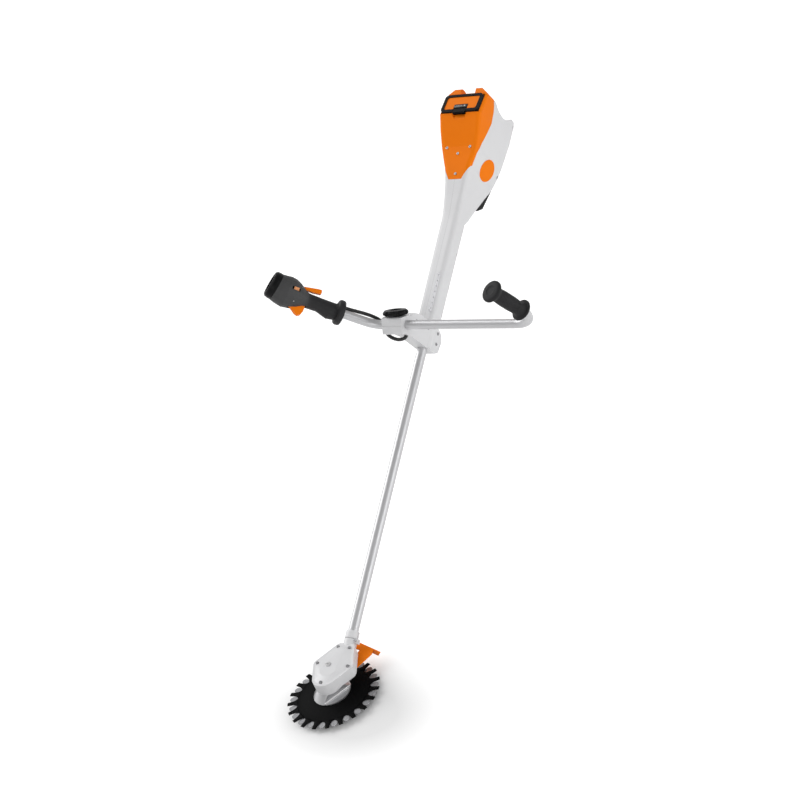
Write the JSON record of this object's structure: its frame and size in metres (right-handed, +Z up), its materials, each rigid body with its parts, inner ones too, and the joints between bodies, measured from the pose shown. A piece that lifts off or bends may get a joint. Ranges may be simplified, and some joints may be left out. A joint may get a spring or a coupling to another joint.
{
  "type": "battery brush cutter",
  "caption": "Battery brush cutter: counter-swinging toothed blades on a gear head, long drive tube, U handlebar with trigger handle, and a rear motor housing holding a slide-in battery.",
  "frame": {"origin": "centre of the ride plate's flat underside, on the axis of the blades, at ground level", "axes": "+Z up along the blade axis, -Y forward, +X to the operator's left"},
  "size_m": [0.7539, 1.7129, 0.9259],
  "materials": {
    "blade_black": "satin black",
    "blade_steel": "satin",
    "ride_steel": "pressed and zinc plated",
    "bright_steel": "ground",
    "gear_steel": "hardened",
    "bronze": "sintered",
    "bearing_steel": "polished",
    "case_paint": "die cast, painted light grey",
    "screw_steel": "zinc plated",
    "orange_plastic": "fine texture",
    "tube_aluminium": "satin anodised",
    "bush_plastic": "natural",
    "grip_rubber": "matt",
    "handle_plastic": "fine texture",
    "black_plastic": "fine texture",
    "slider_plastic": "smooth",
    "cable_sheath": "corrugated sheath",
    "housing_plastic": "fine texture, light grey",
    "rail_plastic": "fine texture",
    "stator_iron": "laminated, wound",
    "rotor_iron": "machined",
    "board": "potted"
  },
  "bodies": {
    "machine": {"hub_shield": "ride_steel", "spindle_bushes": "bronze", "crank_pin": "bright_steel", "pinion_bearings": "bearing_steel", "gearbox_housing": "case_paint", "gearbox_cover": "case_paint", "gearbox_screws": "screw_steel", "filler_plug": "bright_steel", "collar_screws": "screw_steel", "deflector": "orange_plastic", "deflector_screws": "screw_steel", "drive_tube": "tube_aluminium", "tube_bushes": "bush_plastic", "bracket_left": "case_paint", "bracket_right": "case_paint", "bracket_screws": "screw_steel", "clamp_lower": "case_paint", "clamp_upper": "case_paint", "clamp_pad": "grip_rubber", "cable_lower": "cable_sheath", "housing_left": "housing_plastic", "housing_right": "housing_plastic", "housing_screws": "screw_steel", "top_cover": "orange_plastic", "top_cover_screws": "screw_steel", "intake_grille": "black_plastic", "side_disc": "orange_plastic", "carrying_rail": "rail_plastic", "motor_stator": "stator_iron", "control_unit": "board", "terminal_block": "black_plastic"},
    "drive_line": {"pinion": "gear_steel", "drive_shaft": "bright_steel", "motor_rotor": "rotor_iron", "cooling_fan": "black_plastic"},
    "crank": {"crank_gear": "gear_steel", "eccentric_cams": "gear_steel"},
    "upper_cutter": {"upper_blade": "blade_black", "outer_spindle": "bright_steel", "upper_fork": "gear_steel"},
    "lower_cutter": {"lower_blade": "blade_steel", "inner_spindle": "bright_steel", "lower_fork": "gear_steel", "ride_plate": "ride_steel", "ride_nut": "ride_steel"},
    "battery": {"battery_case": "black_plastic", "battery_panel": "orange_plastic"},
    "latch": {"battery_latch": "black_plastic"},
    "handlebar": {"handlebar": "tube_aluminium", "left_grip": "grip_rubber", "handle_shell_front": "handle_plastic", "handle_shell_rear": "handle_plastic", "handle_end_ring": "black_plastic", "switch_unit": "black_plastic", "handle_pins": "bright_steel", "cable_upper": "cable_sheath"},
    "trigger": {"trigger": "orange_plastic"},
    "lockout": {"lockout_lever": "orange_plastic"},
    "slider": {"mode_slider": "slider_plastic"},
    "knob": {"star_knob": "black_plastic"}
  },
  "joints": [
    {"name": "drive_spin", "type": "hinge", "parent": "machine", "child": "drive_line", "pos_m": [0, 0, -0.0073], "axis": [0, 0.8748, 0.4845], "continuous": true},
    {"name": "crank_spin", "type": "hinge", "parent": "machine", "child": "crank", "pos_m": [0, 0.08, 0], "axis": [0, 0, 1], "continuous": true},
    {"name": "upper_blade_swing", "type": "hinge", "parent": "machine", "child": "upper_cutter", "pos_m": [0, 0, 0], "axis": [0, 0, 1], "range_deg": [-4.29, 4.29]},
    {"name": "lower_blade_swing", "type": "hinge", "parent": "machine", "child": "lower_cutter", "pos_m": [0, 0, 0], "axis": [0, 0, 1], "range_deg": [-4.29, 4.29]},
    {"name": "battery_slide", "type": "slide", "parent": "machine", "child": "battery", "axis": [0, -0.3037, 0.9528], "range_m": [0, 0.18]},
    {"name": "latch_lift", "type": "hinge", "parent": "battery", "child": "latch", "pos_m": [0, 1.44139, 0.89926], "axis": [-1, 0, 0], "range_deg": [0, 15], "stiffness_Nm_per_rad": 0.3},
    {"name": "handlebar_tilt", "type": "hinge", "parent": "machine", "child": "handlebar", "pos_m": [0, 0.81303, 0.60647], "axis": [1, 0, 0], "range_deg": [-12, 12]},
    {"name": "trigger_pull", "type": "hinge", "parent": "handlebar", "child": "trigger", "pos_m": [-0.22427, 0.70646, 0.75761], "axis": [0.766, -0.3114, 0.5623], "range_deg": [0, 12], "stiffness_Nm_per_rad": 0.6},
    {"name": "lockout_press", "type": "hinge", "parent": "handlebar", "child": "lockout", "pos_m": [-0.21591, 0.74977, 0.77021], "axis": [-0.766, 0.3114, -0.5623], "range_deg": [0, 8], "stiffness_Nm_per_rad": 0.6},
    {"name": "mode_slide", "type": "slide", "parent": "handlebar", "child": "slider", "axis": [-0.6428, -0.3712, 0.6701], "range_m": [-0.004, 0.004]},
    {"name": "knob_turn", "type": "hinge", "parent": "machine", "child": "knob", "pos_m": [0, 0.81303, 0.60647], "axis": [0, 0.4387, 0.8986], "range_deg": [0, 720]}
  ],
  "couplings": [
    {"joint": "crank_spin", "follows": "drive_spin", "ratio": -0.5},
    {"joint": "lower_blade_swing", "follows": "upper_blade_swing", "ratio": -1}
  ]
}
